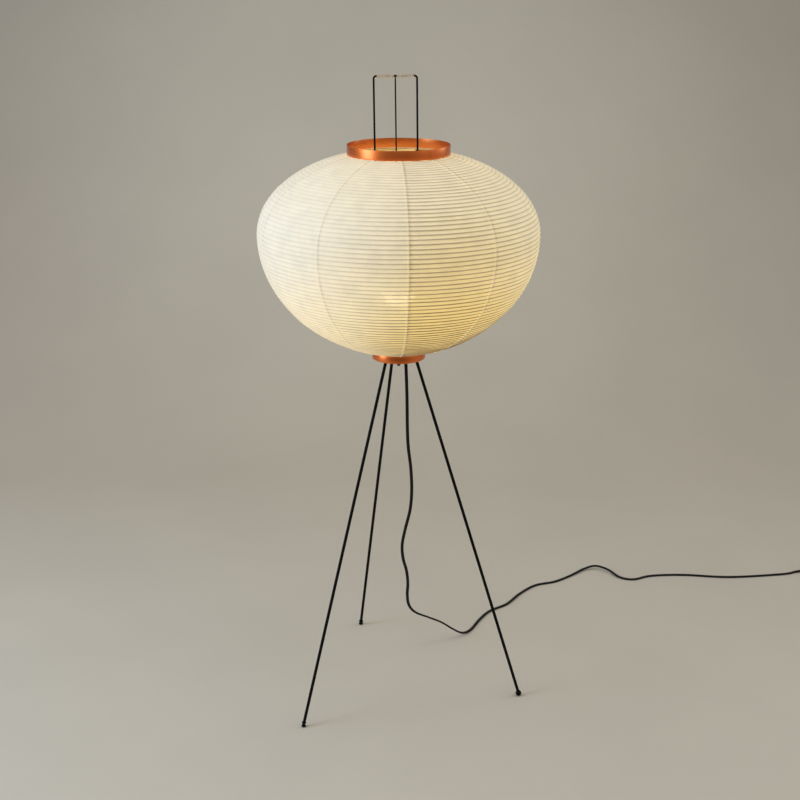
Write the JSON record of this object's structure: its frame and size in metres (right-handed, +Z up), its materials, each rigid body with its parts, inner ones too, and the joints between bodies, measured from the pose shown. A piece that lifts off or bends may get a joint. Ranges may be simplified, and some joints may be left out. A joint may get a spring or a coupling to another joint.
{
  "type": "paper lantern floor lamp",
  "caption": "Floor lamp with an oval ribbed paper lantern, copper rings, a bail handle and a slim wire tripod with ball feet.",
  "frame": {"origin": "on the floor under the lamp's axis, the centre of the shade seen from above", "axes": "+Z up, +X to the right and +Y to the back as seen from the front"},
  "size_m": [1.5165, 0.8107, 1.2295],
  "materials": {
    "copper": "satin",
    "black_wire": "satin",
    "zinc_steel": "satin",
    "dark_steel": "satin",
    "cane": "satin",
    "bamboo": "matte",
    "paper": "matte",
    "black_plastic": "satin",
    "porcelain": "gloss",
    "brass": "satin",
    "nickel": "satin",
    "black_glass": "gloss",
    "opal_glass": "matte",
    "black_flex": "matte"
  },
  "bodies": {
    "root": {"hub": "black_wire", "bottom_ring": "copper", "leg_right": "black_wire", "leg_rear": "black_wire", "leg_left": "black_wire", "foot_right": "black_wire", "foot_rear": "black_wire", "foot_left": "black_wire", "leg_grub_screws": "zinc_steel", "main_bail": "black_wire", "cross_bail": "black_wire", "cane_wrap": "cane", "bamboo_hoops": "bamboo", "paper_gore_1": "paper", "paper_gore_2": "paper", "paper_gore_3": "paper", "paper_gore_4": "paper", "paper_gore_5": "paper", "paper_gore_6": "paper", "paper_gore_7": "paper", "paper_gore_8": "paper", "paper_gore_9": "paper", "paper_gore_10": "paper", "centre_stud": "dark_steel", "stud_nut": "zinc_steel", "spacer": "dark_steel", "holder_base": "black_plastic", "holder_sleeve": "black_plastic", "holder_core": "porcelain", "thread_shell": "brass", "centre_contact": "brass", "cord_grommet": "black_plastic", "lead_inside": "black_flex", "cord_run": "black_flex", "switch_base": "black_plastic", "switch_cover": "black_plastic", "switch_block": "black_plastic", "switch_screws": "zinc_steel", "cord_coil": "black_flex", "plug_body": "black_plastic", "plug_pins": "nickel"},
    "shade_top": {"top_ring": "copper", "spoke_left": "black_wire", "spoke_right": "black_wire"},
    "bulb": {"bulb_cap": "nickel", "bulb_tip": "black_glass", "bulb_globe": "opal_glass"},
    "button": {"switch_button": "black_plastic"}
  },
  "joints": [
    {"name": "shade_fold", "type": "slide", "parent": "root", "child": "shade_top", "axis": [-0.0115, 0, 0.9999], "range_m": [-0.34, 0], "deforming": ["paper_gore_1", "paper_gore_2", "paper_gore_3", "paper_gore_4", "paper_gore_5", "paper_gore_6", "paper_gore_7", "paper_gore_8", "paper_gore_9", "paper_gore_10", "bamboo_hoops"]},
    {"name": "bulb_turn", "type": "hinge", "parent": "root", "child": "bulb", "pos_m": [0, 0, 0.78], "axis": [0, 0, 1], "range_deg": [0, 1980]},
    {"name": "button_press", "type": "slide", "parent": "root", "child": "button", "axis": [0, 0, -1], "range_m": [0, 0.003], "stiffness_N_per_m": 1500, "springref_m": -0.0002}
  ]
}
